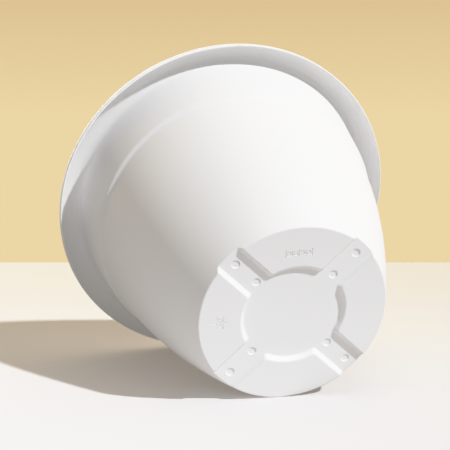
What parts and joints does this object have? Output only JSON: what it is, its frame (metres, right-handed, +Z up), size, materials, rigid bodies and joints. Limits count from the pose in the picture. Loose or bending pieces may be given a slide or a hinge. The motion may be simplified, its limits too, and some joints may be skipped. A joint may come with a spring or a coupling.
{
  "type": "self watering planter",
  "caption": "Round white moulded planter with a rolled rim and four-footed recessed base, and a lift-out watering insert with soil cups, filling tube and float level gauge.",
  "frame": {"origin": "on the floor under the centre of the pot", "axes": "+Z up along the pot's axis; the filling tube is on +Y, the level gauge on -Y and the side soil cups on +X and -X"},
  "size_m": [0.3, 0.3, 0.2098],
  "materials": {
    "pot_plastic": "fine matte moulded white",
    "insert_plastic": "matte moulded dark grey",
    "tube_plastic": "satin mid grey",
    "lid_plastic": "satin white",
    "clear_plastic": "clear moulded",
    "float_foam": "closed cell foam",
    "rod_plastic": "satin white",
    "marker_plastic": "gloss red",
    "steel_pin": "bright drawn stainless"
  },
  "bodies": {
    "pot": {"planter_pot": "pot_plastic"},
    "insert": {"separator_platform": "insert_plastic", "support_leg_1": "insert_plastic", "support_leg_2": "insert_plastic", "support_leg_3": "insert_plastic", "support_leg_4": "insert_plastic", "soil_cup_centre": "insert_plastic", "soil_cup_left": "insert_plastic", "soil_cup_right": "insert_plastic", "fill_tube": "tube_plastic", "fill_strainer": "insert_plastic", "lid_hinge_pin": "steel_pin", "gauge_tube": "clear_plastic", "gauge_foot": "insert_plastic", "gauge_guide": "insert_plastic"},
    "lid": {"fill_lid": "lid_plastic"},
    "float": {"gauge_float": "float_foam", "gauge_rod": "rod_plastic", "gauge_marker": "marker_plastic"},
    "cap": {"gauge_cap": "lid_plastic"}
  },
  "joints": [
    {"name": "insert_lift", "type": "slide", "parent": "pot", "child": "insert", "axis": [0, 0, 1], "range_m": [0, 0.215]},
    {"name": "lid_swing", "type": "hinge", "parent": "insert", "child": "lid", "pos_m": [0, 0.0767, 0.1852], "axis": [-1, 0, 0], "range_deg": [0, 110]},
    {"name": "float_rise", "type": "slide", "parent": "insert", "child": "float", "axis": [0, 0, 1], "range_m": [0, 0.03]},
    {"name": "cap_pull", "type": "slide", "parent": "insert", "child": "cap", "axis": [0, 0, 1], "range_m": [0, 0.016]}
  ]
}
